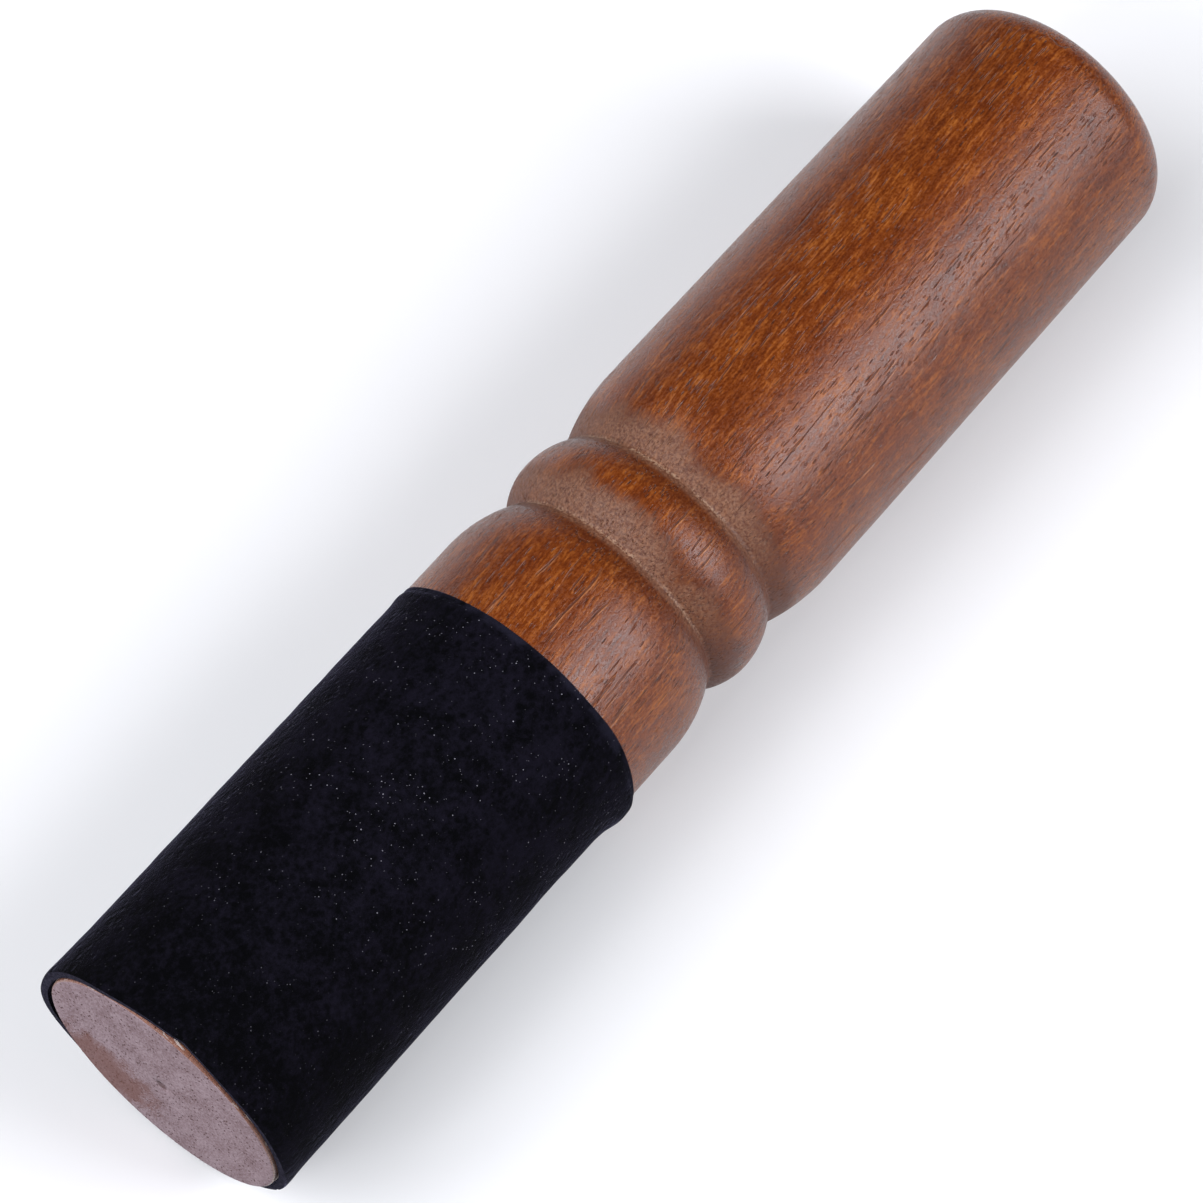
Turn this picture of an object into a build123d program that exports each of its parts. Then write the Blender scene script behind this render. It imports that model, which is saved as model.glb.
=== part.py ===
from build123d import *
import os
from math import cos, radians, sin, sqrt

# A singing-bowl mallet: one turned hardwood handle whose striking end is turned
# down and covered with a sheet of suede, glued round it once.
# Millimetres. The mallet lies on its side along X, with its flat striking end at
# -X, and z = 0 is the surface it lies on. The origin is under its middle.
# A station is a distance along the mallet from the flat end.

# Handle
handle_length = 141.7
body_radius = 14.9
collar_length = 14.6          # from the top of the rebate to the first groove
collar_shoulder_length = 7.4  # the stretch of the collar that rounds into the groove
first_groove_depth = 2.0      # below the collar
bead_lower_length = 4.4       # from the first groove to the crest of the bead
bead_upper_length = 4.8       # from the crest to the second groove
bead_set_down = 0.2           # the crest is this much below the collar
second_groove_depth = 1.75    # below the collar
grip_shoulder_length = 8.2    # from the second groove to the fullest place of the grip
grip_set_down = 0.07          # the grip's fullest place is this much below the collar
grip_taper = 0.28             # radius lost from there to the far end
far_end_rounding = 4.6
flat_end_arris = 0.4
centre_mark_radius = 0.55     # dimple left by the lathe's centre in the flat end
centre_mark_depth = 0.4

# Suede wrap and the glue under it
suede_thickness = 1.0
glue_thickness = 0.1
wrap_length = 51.4
wrap_proud = 0.1              # the wrap stands this much outside the collar
bare_end_length = 0.7         # bare wood beyond the wrap's lower edge
top_edge_gap = 0.1            # between the wrap's top edge and the step of the rebate
glue_set_back = 0.3           # the glue stops this much short of the wrap's edges
seam_gap = 0.2                # between the two ends of the sheet, at its outside
seam_angle = 209.0            # degrees about X, from +Y towards +Z

# Fits that follow from those sizes
core_radius = body_radius + wrap_proud - suede_thickness - glue_thickness
glue_outer_radius = core_radius + glue_thickness
wrap_radius = glue_outer_radius + suede_thickness
axis_height = max(wrap_radius, body_radius)

rebate_top = bare_end_length + wrap_length + top_edge_gap
first_groove = rebate_top + collar_length
bead_crest = first_groove + bead_lower_length
second_groove = bead_crest + bead_upper_length
grip_crest = second_groove + grip_shoulder_length
far_rounding_start = handle_length - far_end_rounding

first_groove_radius = body_radius - first_groove_depth
bead_radius = body_radius - bead_set_down
second_groove_radius = body_radius - second_groove_depth
grip_radius = body_radius - grip_set_down
grip_end_radius = grip_radius - grip_taper
far_face_radius = grip_end_radius - far_end_rounding


def shoulder(crest_station, crest_radius, groove_station, groove_radius):
    """Arc that leaves the crest along the axis and falls to the groove."""
    run = abs(groove_station - crest_station)
    drop = crest_radius - groove_radius
    arc_radius = (run**2 + drop**2) / (2 * drop)
    middle_run = (groove_station - crest_station) / 2
    middle_drop = arc_radius - sqrt(arc_radius**2 - middle_run**2)
    middle = (crest_station + middle_run, crest_radius - middle_drop)
    return ThreePointArc((crest_station, crest_radius), middle, (groove_station, groove_radius))


def turned(outline):
    """Turns a closed outline of station and radius about the mallet's axis."""
    section = make_face(Curve() + outline)
    solid = revolve(section, axis=Axis.X, revolution_arc=360)
    return Pos(-handle_length / 2, 0, axis_height) * solid


def tube(start, length, inner_radius, outer_radius):
    """Round tube on the mallet's axis, from a station, open at both ends."""
    outline = Polyline(
        (start, inner_radius),
        (start + length, inner_radius),
        (start + length, outer_radius),
        (start, outer_radius),
        close=True,
    )
    return turned([outline])


def make_handle():
    """Turned handle: rebate, collar, groove, bead, groove, grip and rounded far end."""
    arris_centre = (flat_end_arris, core_radius - flat_end_arris)
    arris_middle = (
        arris_centre[0] - flat_end_arris * cos(radians(45)),
        arris_centre[1] + flat_end_arris * sin(radians(45)),
    )
    rounding_centre = (far_rounding_start, far_face_radius)
    rounding_middle = (
        rounding_centre[0] + far_end_rounding * cos(radians(45)),
        rounding_centre[1] + far_end_rounding * sin(radians(45)),
    )
    collar_crest = first_groove - collar_shoulder_length
    outline = [
        Polyline(
            (handle_length, 0),
            (centre_mark_depth, 0),
            (0, centre_mark_radius),
            (0, core_radius - flat_end_arris),
        ),
        ThreePointArc((0, core_radius - flat_end_arris), arris_middle, (flat_end_arris, core_radius)),
        Polyline(
            (flat_end_arris, core_radius),
            (rebate_top, core_radius),
            (rebate_top, body_radius),
            (collar_crest, body_radius),
        ),
        shoulder(collar_crest, body_radius, first_groove, first_groove_radius),
        shoulder(bead_crest, bead_radius, first_groove, first_groove_radius),
        shoulder(bead_crest, bead_radius, second_groove, second_groove_radius),
        shoulder(grip_crest, grip_radius, second_groove, second_groove_radius),
        Line((grip_crest, grip_radius), (far_rounding_start, grip_end_radius)),
        ThreePointArc(
            (far_rounding_start, grip_end_radius),
            rounding_middle,
            (handle_length, far_face_radius),
        ),
        Line((handle_length, far_face_radius), (handle_length, 0)),
    ]
    return turned(outline)


def make_glue_film():
    """Thin film of dried contact glue between the wood and the suede."""
    start = bare_end_length + glue_set_back
    return tube(start, wrap_length - 2 * glue_set_back, core_radius, glue_outer_radius)


def make_suede_wrap():
    """Sheet of suede bent round the handle, its two ends meeting at a straight seam."""
    sleeve = tube(bare_end_length, wrap_length, glue_outer_radius, wrap_radius)
    slit_height = 4 * suede_thickness
    slit = Box(2 * wrap_length, slit_height, seam_gap)
    slit = Pos(0, glue_outer_radius + slit_height / 2 - suede_thickness, 0) * slit
    slit = Pos(0, 0, axis_height) * Rot(seam_angle, 0, 0) * slit
    middle = bare_end_length + wrap_length / 2 - handle_length / 2
    return sleeve - Pos(middle, 0, 0) * slit


os.makedirs("parts", exist_ok=True)
export_step(make_handle(), "parts/handle.step")
export_step(make_glue_film(), "parts/glue_film.step")
export_step(make_suede_wrap(), "parts/suede_wrap.step")
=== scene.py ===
import math

import bmesh
import bpy
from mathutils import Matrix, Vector, noise


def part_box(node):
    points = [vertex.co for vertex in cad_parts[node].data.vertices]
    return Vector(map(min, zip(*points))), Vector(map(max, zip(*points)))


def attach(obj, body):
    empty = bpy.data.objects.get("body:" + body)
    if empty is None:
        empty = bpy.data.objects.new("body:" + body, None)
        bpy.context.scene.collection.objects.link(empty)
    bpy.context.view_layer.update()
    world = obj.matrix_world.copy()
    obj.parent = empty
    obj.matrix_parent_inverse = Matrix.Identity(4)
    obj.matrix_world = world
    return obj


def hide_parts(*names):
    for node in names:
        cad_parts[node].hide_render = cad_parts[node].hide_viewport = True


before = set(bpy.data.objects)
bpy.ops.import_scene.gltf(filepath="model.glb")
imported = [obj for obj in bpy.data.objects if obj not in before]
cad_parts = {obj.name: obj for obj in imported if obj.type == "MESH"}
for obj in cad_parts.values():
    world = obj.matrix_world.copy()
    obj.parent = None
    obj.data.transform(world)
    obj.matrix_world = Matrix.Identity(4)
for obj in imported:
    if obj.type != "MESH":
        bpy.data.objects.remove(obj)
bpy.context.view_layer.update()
scene = bpy.context.scene

# ---------------------------------------------------------------- camera and studio
# The mallet lies on a pale table, striking end towards the viewer, with a soft light to its
# right, a larger one to its left and a weak one before its striking end. The table throws no
# diffuse light back at it.
handle_low, handle_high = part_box("handle")
wrap_low, wrap_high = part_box("suede_wrap")
flat_end = handle_low.x
mallet_length = handle_high.x - flat_end
axis_height = (wrap_low.z + wrap_high.z) / 2

camera_azimuth = math.radians(-50.93)
camera_elevation = math.radians(62.82)
camera_distance = 0.5127
looked_at_station = 0.06611
looked_at_side = 0.0001
looked_at = Vector((flat_end + looked_at_station, looked_at_side, axis_height))
towards_camera = Vector(
    (
        math.sin(camera_azimuth) * math.cos(camera_elevation),
        -math.cos(camera_azimuth) * math.cos(camera_elevation),
        math.sin(camera_elevation),
    )
)
camera_data = bpy.data.cameras.new("camera")
camera_data.sensor_width = 36.0
camera_data.lens = 155.6
camera_data.clip_start = 0.01
camera_data.clip_end = 20.0
camera = bpy.data.objects.new("camera", camera_data)
camera.location = looked_at + towards_camera * camera_distance
camera.rotation_euler = towards_camera.to_track_quat("Z", "Y").to_euler()
scene.collection.objects.link(camera)
scene.camera = camera
scene.view_settings.view_transform = "Standard"


def soft_light(name, direction, distance, width, height, power, colour):
    """Hangs a rectangular soft light that way from the mallet, facing it."""
    lamp = bpy.data.lights.new(name, "AREA")
    lamp.shape = "RECTANGLE"
    lamp.size = width
    lamp.size_y = height
    lamp.energy = power
    lamp.color = colour
    holder = bpy.data.objects.new(name, lamp)
    aim = Vector(direction).normalized()
    holder.location = looked_at + aim * distance
    holder.rotation_euler = aim.to_track_quat("Z", "Y").to_euler()
    scene.collection.objects.link(holder)


cool_white = (0.94, 0.95, 1.0)
soft_light("right_softbox", (0.355, -0.709, 0.609), 0.90, 0.50, 0.50, 7.4, cool_white)
soft_light("left_softbox", (-0.45, 0.50, 0.74), 1.10, 0.85, 0.85, 9.4, cool_white)
soft_light("front_softbox", (-0.75, 0.02, 0.60), 1.00, 0.40, 0.40, 4.0, cool_white)

room = bpy.data.worlds.new("room")
room.use_nodes = True
room.node_tree.nodes["Background"].inputs["Color"].default_value = (0.93, 0.95, 1.0, 1.0)
room.node_tree.nodes["Background"].inputs["Strength"].default_value = 0.12
scene.world = room

table_half = 1.5
table_mesh = bmesh.new()
bmesh.ops.create_grid(table_mesh, x_segments=1, y_segments=1, size=table_half)
table_data = bpy.data.meshes.new("table")
table_mesh.to_mesh(table_data)
table_mesh.free()
table = bpy.data.objects.new("table", table_data)
scene.collection.objects.link(table)
pale = bpy.data.materials.new("pale_table")
pale.use_nodes = True
pale_surface = pale.node_tree.nodes["Principled BSDF"]
pale_surface.inputs["Base Color"].default_value = (0.88, 0.88, 0.88, 1.0)
pale_surface.inputs["Roughness"].default_value = 0.7
pale_surface.inputs["Emission Color"].default_value = (0.97, 0.98, 1.0, 1.0)
pale_surface.inputs["Emission Strength"].default_value = 0.06
table_data.materials.append(pale)
table.visible_diffuse = False

# ---------------------------------------------------------------- turned handle
# One solid turning of red-brown, straight-grained hardwood: a rebated striking end, a collar,
# a bead between two V-grooves and a plain grip with a rounded end. Turned, stained, sanded and
# lacquered all over, except for the flat end, which was cut off and sanded afterwards.
MM = 0.001

body_radius = (handle_high.z - handle_low.z) / 2 / MM
core_radius = 13.9
rebate_top = 52.2
collar_shoulder = 7.4
first_groove = 66.8
first_groove_depth = 2.0
bead_crest = 71.2
bead_set_down = 0.2
second_groove = 76.0
second_groove_depth = 1.75
grip_shoulder = 8.2
grip_set_down = 0.07
grip_taper = 0.28
far_rounding = 4.6
flat_arris = 0.3
end_set_in = 0.30
end_out_of_square = 0.12
rebate_arris = 0.12
rebate_start = 1.2
centre_mark_radius = 0.55
centre_mark_depth = 0.35
turn_steps = 288
plain_steps = 12
arris_steps = 4
face_arris_steps = 5
shoulder_steps = 22
bead_steps = 16
grip_steps = 58
far_rounding_steps = 14
far_face_steps = 5


def fall(run, full_run, drop):
    """How far an arc has fallen, a run away from the crest that it leaves level."""
    arc_radius = (full_run**2 + drop**2) / (2 * drop)
    return arc_radius - math.sqrt(arc_radius**2 - run**2)


def shoulder(crest, crest_radius, groove, groove_radius, steps):
    """Stations and radii of a rounded shoulder from its crest down to a groove."""
    full_run = abs(groove - crest)
    drop = crest_radius - groove_radius
    points = []
    for i in range(steps + 1):
        share = i / steps
        run = full_run * share
        points.append((crest + (groove - crest) * share, crest_radius - fall(run, full_run, drop)))
    return points


def straight(start, end, steps):
    """Evenly spaced points from one station and radius to another, the last left out."""
    return [
        (start[0] + (end[0] - start[0]) * i / steps, start[1] + (end[1] - start[1]) * i / steps)
        for i in range(steps)
    ]


def quarter(centre, radius, start_degrees, end_degrees, steps):
    """Points on an arc of the outline, angles measured from the outward radius."""
    points = []
    for i in range(steps + 1):
        angle = math.radians(start_degrees + (end_degrees - start_degrees) * i / steps)
        points.append((centre[0] + radius * math.sin(angle), centre[1] + radius * math.cos(angle)))
    return points


length = mallet_length / MM
bead_radius = body_radius - bead_set_down
grip_radius = body_radius - grip_set_down
grip_end_radius = grip_radius - grip_taper
first_groove_radius = body_radius - first_groove_depth
second_groove_radius = body_radius - second_groove_depth
collar_crest = first_groove - collar_shoulder
grip_crest = second_groove + grip_shoulder
far_rounding_start = length - far_rounding
far_face_radius = grip_end_radius - far_rounding
face_edge = core_radius - flat_arris

outline = [(centre_mark_depth, 0.0), (centre_mark_depth * 0.8, centre_mark_radius * 0.5)]
outline += straight((0.0, centre_mark_radius), (0.0, face_edge), plain_steps)
outline += quarter((flat_arris, face_edge), flat_arris, -90, 0, face_arris_steps)
outline += straight((rebate_start, core_radius), (rebate_top, core_radius), plain_steps)
outline.append((rebate_top, core_radius))
outline += quarter(
    (rebate_top + rebate_arris, body_radius - rebate_arris), rebate_arris, -90, 0, arris_steps
)
outline += straight(
    (rebate_top + 2 * rebate_arris, body_radius), (collar_crest, body_radius), plain_steps
)
outline += shoulder(
    collar_crest, body_radius, first_groove, first_groove_radius, shoulder_steps
)[:-1]
outline += shoulder(
    bead_crest, bead_radius, first_groove, first_groove_radius, bead_steps
)[::-1]
outline += shoulder(
    bead_crest, bead_radius, second_groove, second_groove_radius, bead_steps
)[1:-1]
outline += shoulder(
    grip_crest, grip_radius, second_groove, second_groove_radius, shoulder_steps
)[::-1]
outline += straight(
    (grip_crest, grip_radius), (far_rounding_start, grip_end_radius), grip_steps
)[1:]
outline += quarter(
    (far_rounding_start, far_face_radius), far_rounding, 0, 90, far_rounding_steps
)
outline += straight((length, far_face_radius * 0.85), (length, 0.0), far_face_steps)
outline.append((length, 0.0))

turning = bmesh.new()
ring = [turning.verts.new((flat_end + x * MM, 0.0, axis_height + r * MM)) for x, r in outline]
for a, b in zip(ring, ring[1:]):
    turning.edges.new((a, b))
bmesh.ops.spin(
    turning,
    geom=turning.verts[:] + turning.edges[:],
    cent=(0.0, 0.0, axis_height),
    axis=(1.0, 0.0, 0.0),
    angle=math.tau,
    steps=turn_steps,
    use_merge=True,
)
bmesh.ops.remove_doubles(turning, verts=turning.verts[:], dist=1e-7)
bmesh.ops.recalc_face_normals(turning, faces=turning.faces[:])


def unit_radial(point):
    """Direction straight out from the mallet's axis to a point."""
    out = Vector((0.0, point.y, point.z - axis_height))
    return out.normalized() if out.length > 1e-9 else Vector((0.0, 0.0, 0.0))


# The sander leaves the turning very slightly uneven.
hand_sanding = 0.035 * MM
for vert in turning.verts:
    station = (vert.co.x - flat_end) / MM
    if station > rebate_top:
        height = (vert.co.z - axis_height) / MM
        spot = Vector((station * 0.055, vert.co.y / MM * 0.07, height * 0.07))
        vert.co += unit_radial(vert.co) * hand_sanding * noise.noise(spot)

flat_face_depth = 0.06 * MM
for face in turning.faces:
    face.smooth = True
    middle = face.calc_center_median()
    if middle.x < flat_end + flat_face_depth or (
        middle.x < flat_end + centre_mark_depth * MM
        and math.hypot(middle.y, middle.z - axis_height) < centre_mark_radius * MM
    ):
        face.material_index = 1

# The end was cut by hand, a trace short and out of square, with its high side uppermost.
end_cut_reach = 0.6 * MM
for vert in turning.verts:
    depth = vert.co.x - flat_end
    if depth < end_cut_reach:
        high = (vert.co.z - axis_height) / (core_radius * MM)
        set_in = (end_set_in + end_out_of_square * high) * MM
        vert.co.x += set_in * (1.0 - depth / (rebate_start * MM))
handle_data = bpy.data.meshes.new("turned_handle")
turning.to_mesh(handle_data)
turning.free()
handle = bpy.data.objects.new("turned_handle", handle_data)
scene.collection.objects.link(handle)


def srgb(red, green, blue):
    """A colour on the usual 0 to 255 scale, as the shader wants it."""
    linear = []
    for part in (red, green, blue):
        share = part / 255
        linear.append(share / 12.92 if share <= 0.04045 else ((share + 0.055) / 1.055) ** 2.4)
    return (*linear, 1.0)


class Wire:
    """One output in a material's nodes. Sums on wires add Math nodes."""

    def __init__(self, tree, socket=None):
        self.tree = tree
        self.socket = socket

    def node(self, kind, settings=None, inputs=None, output=0):
        """Adds a node, sets it up, feeds its inputs and returns one of its outputs."""
        made = self.tree.nodes.new("ShaderNode" + kind)
        for name, value in (settings or {}).items():
            if name == "stops":
                stops = made.color_ramp.elements
                while len(stops) < len(value):
                    stops.new(0.5)
                for stop, (position, colour) in zip(stops, value):
                    stop.position = position
                    stop.color = colour
            else:
                setattr(made, name, value)
        for name, value in (inputs or {}).items():
            if isinstance(value, Wire):
                self.tree.links.new(value.socket, made.inputs[name])
            else:
                made.inputs[name].default_value = value
        return Wire(self.tree, made.outputs[output])

    def also(self, output):
        """Another output of the node that this wire comes from."""
        return Wire(self.tree, self.socket.node.outputs[output])

    def math(self, operation, other=0.0):
        """One Math node on this wire and another wire or a number."""
        return self.node("Math", {"operation": operation}, {0: self, 1: other})

    def __add__(self, other):
        return self.math("ADD", other)

    def __radd__(self, other):
        return self.math("ADD", other)

    def __sub__(self, other):
        return self.math("SUBTRACT", other)

    def __rsub__(self, other):
        return self.math("MULTIPLY", -1.0).math("ADD", other)

    def __mul__(self, other):
        return self.math("MULTIPLY", other)

    def __rmul__(self, other):
        return self.math("MULTIPLY", other)

    def strongest(self, other):
        """The greater of two masks; None stands for no mask yet."""
        return self if other is None else self.math("MAXIMUM", other)

    def from_line(self, middle):
        """How far this wire is from a value, on either side."""
        return (self - middle).math("ABSOLUTE")

    def rise(self, low, high):
        """0 below low and 1 above high, smoothly between; the other way round if low is more."""
        return self.node(
            "MapRange",
            {"interpolation_type": "SMOOTHSTEP"},
            {"Value": self, "From Min": low, "From Max": high, "To Min": 0.0, "To Max": 1.0},
        )

    def blend(self, first, second, kind="MIX"):
        """Mixes two colours, this wire saying how much of the second."""
        return self.node(
            "Mix",
            {"data_type": "RGBA", "blend_type": kind, "clamp_factor": True},
            {0: self, 6: first, 7: second},
            output=2,
        )


lit_side_turn = math.radians(162.06)


def start_material(name):
    """A new material: a wire to begin from and its surface shader."""
    material = bpy.data.materials.new(name)
    material.use_nodes = True
    tree = material.node_tree
    return material, Wire(tree), tree.nodes["Principled BSDF"]


def place_in_mm(begin):
    """Station, Y and Z from the mallet's axis at the flat end, in millimetres."""
    spot = begin.node("TexCoord", output=3)
    return begin.node(
        "Mapping",
        inputs={
            "Vector": spot,
            "Location": (-flat_end / MM, 0.0, -axis_height / MM),
            "Scale": (1 / MM, 1 / MM, 1 / MM),
        },
    )


def stretched(place, along, across):
    """Pattern coordinates: so many features a millimetre along the mallet and across it."""
    return place.node(
        "VectorMath", {"operation": "MULTIPLY"}, {0: place, 1: (along, across, across)}
    )


def cloud(place, along, across, detail=2.0, distortion=0.0, roughness=0.5):
    """Noise from 0 to 1, drawn out along the grain."""
    return place.node(
        "TexNoise",
        inputs={
            "Vector": stretched(place, along, across),
            "Scale": 1.0,
            "Detail": detail,
            "Roughness": roughness,
            "Distortion": distortion,
        },
    )


def pore_field(place, along, across, shift):
    """Distance to the nearest pore, in cells drawn out along the grain."""
    moved = place.node(
        "VectorMath", {"operation": "ADD"}, {0: stretched(place, along, across), 1: shift}
    )
    return place.node("TexVoronoi", inputs={"Vector": moved, "Scale": 1.0, "Randomness": 1.0})


def side_and_depth(place):
    """How far a point is to the right of the axis and below it, looking square at the lit side."""
    turned = place.node("Mapping", inputs={"Vector": place, "Rotation": (lit_side_turn, 0.0, 0.0)})
    parts = turned.node("SeparateXYZ", inputs={0: turned})
    return turned, parts.also(1), parts.also(2)


def feed(material, shader, bump_height, strength=1.0, **varying):
    """Connects a finish: the sockets that vary over the surface, and bump from a height in mm."""
    links = material.node_tree.links
    for name, wire in varying.items():
        links.new(wire.socket, shader.inputs[name.replace("_", " ")])
    bump = bump_height.node(
        "Bump", inputs={"Strength": strength, "Distance": MM, "Height": bump_height}
    )
    links.new(bump.socket, shader.inputs["Normal"])


def along_the_grain(place):
    """The grain runs a few degrees off the mallet's axis and wanders a little."""
    leaning = place.node("Mapping", inputs={"Vector": place, "Rotation": (0.0, 0.02, -0.06)})
    drift = place.node(
        "TexNoise",
        inputs={"Vector": stretched(place, 0.03, 0.05), "Scale": 1.0, "Detail": 1.0},
        output=1,
    )
    drift = place.node("VectorMath", {"operation": "SUBTRACT"}, {0: drift, 1: (0.5, 0.5, 0.5)})
    drift = place.node("VectorMath", {"operation": "MULTIPLY"}, {0: drift, 1: (0.0, 2.5, 2.5)})
    return place.node("VectorMath", {"operation": "ADD"}, {0: leaning, 1: drift})


# Longer openings in the grain: place across the mallet, the two stations and the strength.
open_grain_lines = [
    (-2.2, 54.5, 63.0, 1.0),
    (-6.4, 58.4, 62.4, 0.8),
    (-7.8, 52.8, 57.0, 0.7),
    (0.1, 57.1, 60.7, 0.9),
    (6.6, 54.4, 59.0, 0.6),
    (8.6, 52.8, 55.4, 0.7),
    (0.2, 71.2, 73.4, 1.0),
    (3.6, 71.2, 73.1, 0.9),
    (-2.1, 96.6, 101.4, 0.7),
    (-4.9, 94.0, 96.3, 0.7),
    (-4.9, 98.1, 100.6, 0.7),
    (1.0, 99.8, 104.2, 0.7),
    (5.1, 92.6, 95.6, 0.7),
    (10.5, 87.8, 92.5, 0.7),
    (-7.6, 97.5, 100.8, 0.7),
    (3.7, 85.5, 87.2, 0.7),
]


def lacquered_wood():
    """Stained straight-grained hardwood under satin lacquer, dusty and dull in the grooves, with
    painted highlights beside its pores and grain lines, painted shade in the creases by the grooves
    and a painted sheen in the dust on the left.
    """
    material, begin, shader = start_material("lacquered_wood")
    place = place_in_mm(begin)
    station = place.node("SeparateXYZ", inputs={0: place})
    grain = along_the_grain(place)

    bands = cloud(grain, 0.010, 0.20, detail=2.0, distortion=0.3)
    mottle = cloud(grain, 0.15, 0.25, detail=4.0, roughness=0.55)
    streaks = cloud(grain, 0.05, 0.9, detail=2.0)
    fibres = cloud(grain, 0.40, 3.0, detail=4.0, roughness=0.75)
    grit = cloud(place, 2.6, 3.4, detail=3.0, roughness=0.75)

    tone = (
        (bands - 0.5) * 0.30
        + (mottle - 0.5) * 0.50
        + (streaks - 0.5) * 0.30
        + (fibres - 0.5) * 1.80
        + (grit - 0.5) * 0.80
        + 0.5
    )
    wood = tone.node(
        "ValToRGB",
        {
            "stops": [
                (0.10, srgb(74, 28, 5)),
                (0.36, srgb(99, 42, 5)),
                (0.60, srgb(121, 57, 8)),
                (0.90, srgb(168, 96, 34)),
            ]
        },
        {0: tone},
    )

    red_stain = srgb(108, 40, 12)
    pore_shadow = srgb(58, 22, 9)
    fine_pore_shadow = srgb(62, 24, 10)
    open_pore_shadow = srgb(38, 14, 8)
    long_line_shadow = srgb(60, 22, 10)
    line_shadow = srgb(62, 24, 12)
    # Painted highlight colour for the lit edge of the open grain lines.
    painted_line_highlight = srgb(188, 124, 80)
    # Painted highlight colour for the lit edge beside each pore.
    painted_pore_highlight = srgb(178, 112, 66)
    # Painted shade colour for the creases beside the grooves.
    painted_crease_shade = srgb(70, 27, 8)
    dark_dust, pale_dust, caked_dust = srgb(86, 47, 31), srgb(154, 113, 87), srgb(182, 150, 124)
    rubbed_wood = srgb(146, 106, 92)
    glue_white = srgb(200, 188, 182)

    wood = (bands.rise(0.42, 0.62) * 0.14).blend(wood, red_stain)
    crowding = cloud(grain, 0.05, 0.30, detail=1.0)
    pore_pattern = (0.17, 2.6, (7.3, 1.9, 4.1))
    pores = pore_field(grain, *pore_pattern)
    pores = (pores + (0.5 - crowding) * 0.45).rise(0.25, 0.08)
    open_pores = pore_field(grain, 0.34, 1.8, (0.0, 0.0, 0.0)).rise(0.15, 0.06)
    fine_pores = pore_field(grain, 0.70, 2.9, (2.2, 6.1, 8.8)).rise(0.27, 0.13)
    fine_pores = fine_pores * crowding.rise(0.30, 0.60)
    long_line = cloud(grain, 0.012, 0.28, detail=1.0).from_line(0.52).rise(0.010, 0.002)
    long_line = long_line * cloud(grain, 0.09, 0.4, detail=1.0).rise(0.53, 0.63)
    wood = (fine_pores * 0.62).blend(wood, fine_pore_shadow)
    wood = (pores * 0.40).blend(wood, pore_shadow)
    wood = (long_line * 0.45).blend(wood, long_line_shadow)
    wood = (open_pores * 0.70).blend(wood, open_pore_shadow)
    pitted = pores.strongest(open_pores).strongest(long_line)

    line_highlight_offset = 0.15
    _, side, _ = side_and_depth(place)
    wavering = side + (cloud(grain, 0.12, 0.12, detail=2.0) - 0.5) * 1.6
    for line_side, line_start, line_end, strength in open_grain_lines:
        line = wavering.from_line(line_side).rise(0.13, 0.04)
        line = line * station.rise(line_start - 0.8, line_start + 0.6)
        line = line * station.rise(line_end + 0.8, line_end - 0.6)
        line = line * (fibres.rise(0.3, 0.5) * strength)
        pitted = pitted.strongest(line)
        wood = (line * 0.6).blend(wood, line_shadow)
        # Painted highlight: a light strip beside each grain line, on the side where its relief
        # would catch the light.
        line_highlight = wavering.from_line(line_side + line_highlight_offset).rise(0.10, 0.03)
        line_highlight = line_highlight * station.rise(line_start - 0.4, line_start + 0.8)
        line_highlight = line_highlight * station.rise(line_end + 0.6, line_end - 0.8) * fibres.rise(0.35, 0.55)
        wood = (line_highlight * (0.6 * strength)).blend(wood, painted_line_highlight)

    # Painted highlight: a light edge beside each pore, on the side where its relief would catch the
    # light.
    beside = grain.node("VectorMath", {"operation": "ADD"}, {0: grain, 1: (0.0, 0.12, 0.04)})
    pore_highlight = pore_field(beside, *pore_pattern)
    pore_highlight = (pore_highlight + (0.5 - crowding) * 0.45).rise(0.22, 0.08)
    pore_highlight = (pore_highlight - pores).math("MAXIMUM", 0.0)
    wood = (pore_highlight * 0.45).blend(wood, painted_pore_highlight)

    height_above = station.also(2)
    # Higher up on the mallet: the groove dust is heavier there and the painted crease shade
    # lighter.
    higher_up = height_above.rise(2.0, 12.0) * 0.88 + 0.12
    patches = cloud(place, 0.14, 0.24, detail=3.0, roughness=0.6)
    dust_and_left_sheen = None
    dulled = None
    packed_dust = None
    for groove in (first_groove, second_groove):
        # Painted shade in the creases on either side of each groove, deepest lower down on the
        # mallet.
        crease_shade = station + (mottle - 0.5) * 1.6
        crease_shade = crease_shade.rise(groove - 4.0, groove - 1.0) * crease_shade.rise(groove + 4.5, groove + 2.0)
        wood = (crease_shade * (0.72 - higher_up * 0.22)).blend(wood, painted_crease_shade)
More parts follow.
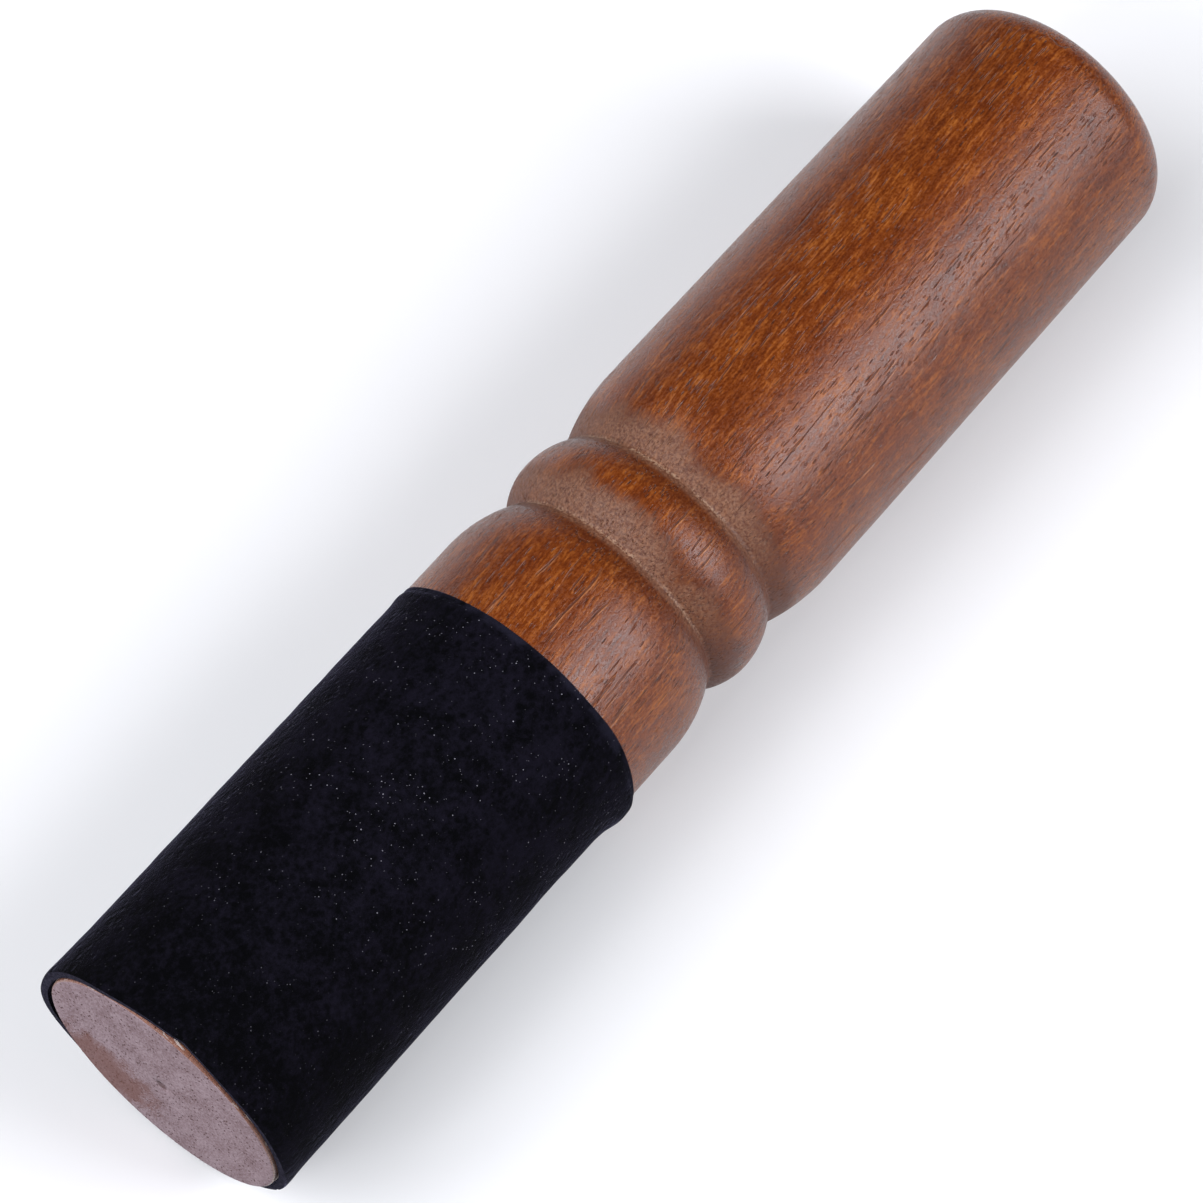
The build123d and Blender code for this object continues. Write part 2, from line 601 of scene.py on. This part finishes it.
        # On the left the dust band reaches further, its pale dust colour there standing in for a
        # painted sheen.
        ragged = station - side.rise(-1.0, -8.0) * 1.3
        ragged = ragged + (patches - 0.5) * 6.5 + (grit - 0.5) * 1.4
        dust_and_sheen = station.rise(groove - 1.2, groove - 0.5) * ragged.rise(groove + 3.6, groove + 0.8)
        dull = station.rise(groove - 1.4, groove - 0.6) * ragged.rise(groove + 3.6, groove + 1.4)
        packed = (station - (groove - 0.05) + (mottle - 0.5) * 0.5).math("ABSOLUTE")
        packed = packed.rise(0.32, 0.08)
        dust_and_left_sheen = dust_and_sheen.strongest(dust_and_left_sheen)
        dulled = dull.strongest(dulled)
        packed_dust = packed.strongest(packed_dust)
    powder = cloud(place, 3.6, 3.6, detail=3.0, roughness=0.75)
    dust_and_sheen_colour = powder.rise(0.32, 0.68).blend(dark_dust, pale_dust)
    wood = (dust_and_left_sheen * higher_up * 0.64).blend(wood, dust_and_sheen_colour)
    packed_dust = packed_dust * powder.rise(0.42, 0.60) * mottle.rise(0.40, 0.55) * higher_up
    wood = (packed_dust * 0.60).blend(wood, caked_dust)

    rubbed = station.rise(1.3, 0.8) * 0.62
    wood = rubbed.blend(wood, rubbed_wood)
    glue_crumbs = cloud(place, 2.2, 0.45, detail=2.0, roughness=0.7).rise(0.58, 0.63)
    glue_crumbs = glue_crumbs * station.rise(1.4, 1.0) * station.rise(0.35, 0.55)
    wood = (glue_crumbs * 0.8).blend(wood, glue_white)

    ripple = cloud(place, 0.20, 0.50, detail=1.0)
    height = (
        (fibres - 0.5) * 0.050
        + (grit - 0.5) * 0.052
        + (ripple - 0.5) * 0.03
        - pitted * 0.085
        - fine_pores * 0.050
        + (powder - 0.5) * dust_and_left_sheen * 0.05
    )
    scratchy = fibres.rise(0.38, 0.62) * 0.10 + grit.rise(0.36, 0.64) * 0.16
    gloss = 0.16 + scratchy + dulled * 0.22 + pitted.strongest(fine_pores) * 0.16
    feed(material, shader, height, Base_Color=wood, Roughness=gloss)
    shader.inputs["Specular IOR Level"].default_value = 0.43
    return material


def raw_end_grain():
    """Sawn and sanded end grain, pale and open-pored, with a stain run in at one edge."""
    material, begin, shader = start_material("raw_end_grain")
    place = place_in_mm(begin)
    turned, side, deep = side_and_depth(place)
    rays = turned.node("VectorMath", {"operation": "MULTIPLY"}, {0: turned, 1: (1.0, 1.0, 0.55)})

    dull_end, pale_end = srgb(138, 113, 116), srgb(192, 170, 177)
    end_pore_shadow = srgb(84, 54, 50)
    run_in_stain = srgb(126, 80, 64)
    centre_shadow = srgb(70, 44, 38)

    tone = cloud(rays, 0.5, 0.5, detail=3.0)
    speckle = cloud(rays, 4.0, 4.0, detail=3.0, roughness=0.7)
    mixed = (tone - 0.5) * 0.55 + (speckle - 0.5) * 1.0 + 0.5
    wood = mixed.rise(0.15, 0.85).blend(dull_end, pale_end)
    pores = pore_field(rays, 0.4, 2.3, (3.0, 5.0, 2.0)).rise(0.30, 0.14)
    fewer = cloud(place, 0.35, 0.35, detail=1.0).rise(0.30, 0.60)
    wood = (pores * (0.35 + fewer * 0.55)).blend(wood, end_pore_shadow)

    stain_side, stain_depth = -4.9, 9.5
    away = (side - stain_side) * 0.155
    down = (deep - stain_depth) * 0.135
    reach = (away * away + down * down).math("SQRT") + (tone - 0.5) * 1.1 + (speckle - 0.5) * 0.5
    stain = reach.rise(1.05, 0.55)
    wood = (stain * 0.62).blend(wood, run_in_stain)
    from_centre = (side * side + deep * deep).math("SQRT")
    mark = from_centre.rise(centre_mark_radius * 1.5, centre_mark_radius * 0.9)
    wood = (mark * 0.6).blend(wood, centre_shadow)
    height = pores * -0.06 + (speckle - 0.5) * 0.05
    feed(material, shader, height, strength=0.8, Base_Color=wood)
    shader.inputs["Roughness"].default_value = 0.85
    shader.inputs["Specular IOR Level"].default_value = 0.2
    return material


handle_data.materials.append(lacquered_wood())
handle_data.materials.append(raw_end_grain())
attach(handle, "root")
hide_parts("handle")

# ---------------------------------------------------------------- glue film
# Contact glue brushed on the rebate and dried to a thin brown skin. Only its edge shows, in the
# seam and at the wrap's lower edge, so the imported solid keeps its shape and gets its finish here.
def dried_glue():
    """Amber-brown dried glue with brush streaks round the handle."""
    material, begin, shader = start_material("dried_glue")
    place = place_in_mm(begin)
    streaks = cloud(place, 2.5, 0.4, detail=2.0)
    colour = streaks.rise(0.3, 0.7).blend(srgb(58, 38, 24), srgb(94, 66, 42))
    feed(material, shader, streaks * 0.03, strength=0.5, Base_Color=colour)
    shader.inputs["Roughness"].default_value = 0.45
    return material


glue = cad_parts["glue_film"]
glue.data.materials.clear()
glue.data.materials.append(dried_glue())

# ---------------------------------------------------------------- suede wrap
# A rectangle of blue-black suede a millimetre thick, cut by hand, bent once round the rebate and
# glued, its ends meeting in a seam underneath and behind. Its cut edges wander a little, and its
# top edge is skived thin and has lifted on one side.
suede_thickness = 1.0
glue_thickness = 0.1
sleeve_inner = core_radius + glue_thickness
sleeve_outer = sleeve_inner + suede_thickness
seam_angle = 209.0
seam_gap = 0.25
near_angle = 107.9
lifted_height = 0.72
loose_lobe_height = 0.58
second_lobe_height = 0.25
top_roll = 0.09
lump_scale = 0.16
skive_depth = 0.30
collar_reach = 1.6
clear_outside_collar = 0.07
clear_inside_collar = 0.02
cells_round = 230
cells_along = 128


def bump_at(angle, centre, width):
    """1 at an angle about the mallet, falling smoothly to 0 a width away, in degrees."""
    off = (angle - centre + 180) % 360 - 180
    return math.exp(-((off / width) ** 2))


def hand_cut(seen, row):
    """A slow wander of the knife, in millimetres, round the mallet."""
    turn = math.radians(seen)
    return noise.noise(Vector((math.cos(turn) * 2.3, row, math.sin(turn) * 2.3)))


def lower_edge(seen):
    """Station of the wrap's hand-cut lower edge."""
    edge = 0.72 + 0.06 * hand_cut(seen, 4.0)
    edge += 0.20 * bump_at(seen, -1, 13) + 0.16 * bump_at(seen, -4.5, 3.5)
    edge += 0.42 * bump_at(seen, 116, 30) - 0.27 * bump_at(seen, -46, 22)
    return edge - 0.34 * bump_at(seen, -118, 25)


def upper_edge(seen):
    """Station of the wrap's upper edge."""
    return (
        52.34
        + 0.08 * hand_cut(seen, 9.0)
        + 0.7 * bump_at(seen, -95, 22)
        + 1.1 * bump_at(seen, 96, 16)
        + 0.2 * bump_at(seen, 42, 16)
    )


def eased(share):
    """Even steps made finer towards both ends."""
    return share - math.sin(share * math.tau) / math.tau * 0.85


sheet = bmesh.new()
bmesh.ops.create_grid(sheet, x_segments=cells_round, y_segments=cells_along, size=0.5)
grid_faces = sheet.faces[:]
grown = bmesh.ops.extrude_face_region(sheet, geom=grid_faces, use_keep_orig=True)
outer = {item for item in grown["geom"] if isinstance(item, bmesh.types.BMVert)}
arc_span = 360.0 - math.degrees(seam_gap / sleeve_outer)
for vert in sheet.verts:
    around = min(max(vert.co.x + 0.5, 0.0), 1.0)
    along = eased(min(max(vert.co.y + 0.5, 0.0), 1.0))
    angle = seam_angle + (360.0 - arc_span) / 2 + around * arc_span
    seen = angle - near_angle
    bottom = lower_edge(seen)
    top = upper_edge(seen)
    station = bottom + (top - bottom) * along
    to_top = top - station
    to_bottom = station - bottom
    to_seam = min(around, 1 - around) * math.radians(arc_span) * sleeve_outer
    turn = math.radians(angle)
    spot = Vector(
        (
            station * lump_scale,
            math.cos(turn) * sleeve_outer * lump_scale,
            math.sin(turn) * sleeve_outer * lump_scale,
        )
    )
    lumps = noise.noise(spot) * 0.07 + noise.noise(spot * 3.1) * 0.035
    lift = lifted_height * bump_at(seen, 92, 20) * math.exp(-(((to_top - 2.3) / 2.2) ** 2))
    loose = loose_lobe_height * bump_at(seen, -118, 22) * math.exp(-((to_bottom / 3.5) ** 2))
    loose += second_lobe_height * bump_at(seen, 108, 24) * math.exp(-((to_bottom / 2.0) ** 2))
    on_collar = body_radius if station > rebate_top - collar_reach else 0.0
    roll = top_roll * math.exp(-(((to_top - 1.1) / 0.7) ** 2))
    if vert in outer:
        skive = skive_depth * max(0.0, 1.0 - to_top / 1.3) ** 2.2
        rounded = 0.10 * max(0.0, 1.0 - to_bottom / 0.35) ** 2
        rounded += 0.35 * bump_at(seen, 5, 60) * math.exp(-((to_bottom / 0.7) ** 2))
        rounded += 0.22 * max(0.0, 1.0 - to_seam / 0.4) ** 2
        radius = sleeve_outer + lumps + lift + loose + roll - skive - rounded
        radius = max(radius, on_collar + clear_outside_collar)
    else:
        radius = sleeve_inner + 0.8 * lift + loose
        if station > rebate_top - 0.02:
            radius = max(radius, on_collar + clear_inside_collar)
    vert.co = (
        flat_end + station * MM,
        radius * MM * math.cos(turn),
        max(axis_height + radius * MM * math.sin(turn), wrap_low.z),
    )
bmesh.ops.recalc_face_normals(sheet, faces=sheet.faces[:])
for face in sheet.faces:
    face.smooth = True
    cut = 0 < sum(vert in outer for vert in face.verts) < 4
    face.material_index = 1 if cut else 0
for edge in sheet.edges:
    low_end = edge.verts[0].co.x < flat_end + 5 * MM
    if low_end and len({face.material_index for face in edge.link_faces}) > 1:
        edge.smooth = False
wrap_data = bpy.data.meshes.new("suede_sleeve")
sheet.to_mesh(wrap_data)
sheet.free()
wrap = bpy.data.objects.new("suede_sleeve", wrap_data)
scene.collection.objects.link(wrap)


def black_suede():
    """Blue-black suede: a short, uneven nap that catches light at a slant, stray lint, and a
    painted sheen along its top edge.
    """
    material, begin, shader = start_material("black_suede")
    place = place_in_mm(begin)
    station = place.node("SeparateXYZ", inputs={0: place})
    brushed = cloud(place, 0.26, 0.26, detail=4.0, roughness=0.6)
    nap = cloud(place, 1.6, 1.6, detail=4.0, roughness=0.75)
    wide_dimples = pore_field(place, 0.40, 0.40, (1.7, 8.2, 3.3)).rise(0.36, 0.12)
    small_dimples = pore_field(place, 0.85, 0.85, (5.1, 0.4, 2.6)).rise(0.42, 0.14)
    dimples = wide_dimples * 0.5 + small_dimples * 0.5
    scuffed = cloud(place, 0.16, 0.42, detail=3.0, roughness=0.6).rise(0.58, 0.72)
    upper = station.rise(4.0, 38.0)
    tone = (
        (brushed - 0.5) * 1.5
        + (nap - 0.5) * 1.9
        + 0.35
        + upper * 0.20
        + scuffed * upper * 0.28
        - dimples * 0.42
    )
    deep_black, brushed_black = srgb(3, 3, 5), srgb(19, 17, 27)
    # Painted sheen colour for the skived top edge.
    painted_rim_sheen = srgb(42, 41, 55)
    lint_grey = srgb(150, 148, 158)
    colour = tone.rise(0.05, 1.05).blend(deep_black, brushed_black)
    # Painted sheen: a lighter band along the wrap's skived top edge.
    rim_sheen = (station + (brushed - 0.5) * 3.0).rise(rebate_top - 0.9, rebate_top + 0.1)
    colour = (rim_sheen * brushed.rise(0.35, 0.60) * 0.36).blend(colour, painted_rim_sheen)

    cluster = cloud(place, 0.30, 0.30, detail=1.0).rise(0.36, 0.62)
    specks = pore_field(place, 1.25, 1.25, (9.1, 2.2, 6.4))
    specks = (specks + (0.5 - nap) * 0.12).rise(0.098, 0.055)
    threads = place.node("Mapping", inputs={"Vector": place, "Rotation": (0.5, 0.7, 0.9)})
    threads = pore_field(threads, 0.42, 2.1, (4.4, 7.7, 1.2)).rise(0.11, 0.06)
    lint = specks.strongest(threads * 0.6) * cluster * (upper * 0.75 + 0.25)
    colour = (lint * 0.85).blend(colour, lint_grey)
    height = (nap - 0.5) * 0.16 + (brushed - 0.5) * 0.16 - dimples * 0.12 + lint * 0.03
    feed(material, shader, height, strength=0.9, Base_Color=colour)
    shader.inputs["Roughness"].default_value = 0.95
    shader.inputs["Specular IOR Level"].default_value = 0.05
    shader.inputs["Sheen Weight"].default_value = 0.21
    shader.inputs["Sheen Roughness"].default_value = 0.20
    shader.inputs["Sheen Tint"].default_value = (0.66, 0.64, 1.0, 1.0)
    return material


def cut_suede():
    """The raw cut edge, with the fibres of the split showing, coloured lighter than the nap as a
    painted sheen.
    """
    material, begin, shader = start_material("cut_suede")
    place = place_in_mm(begin)
    strands = cloud(place, 3.0, 3.0, detail=3.0, roughness=0.7)
    # Painted sheen: the cut edge is coloured lighter than the nap for the light it catches.
    colour = strands.rise(0.25, 0.75).blend(srgb(18, 18, 26), srgb(68, 66, 82))
    feed(material, shader, strands * 0.12, strength=0.8, Base_Color=colour)
    shader.inputs["Roughness"].default_value = 1.0
    shader.inputs["Specular IOR Level"].default_value = 0.05
    return material


wrap_data.materials.append(black_suede())
wrap_data.materials.append(cut_suede())
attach(wrap, "root")
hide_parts("suede_wrap")
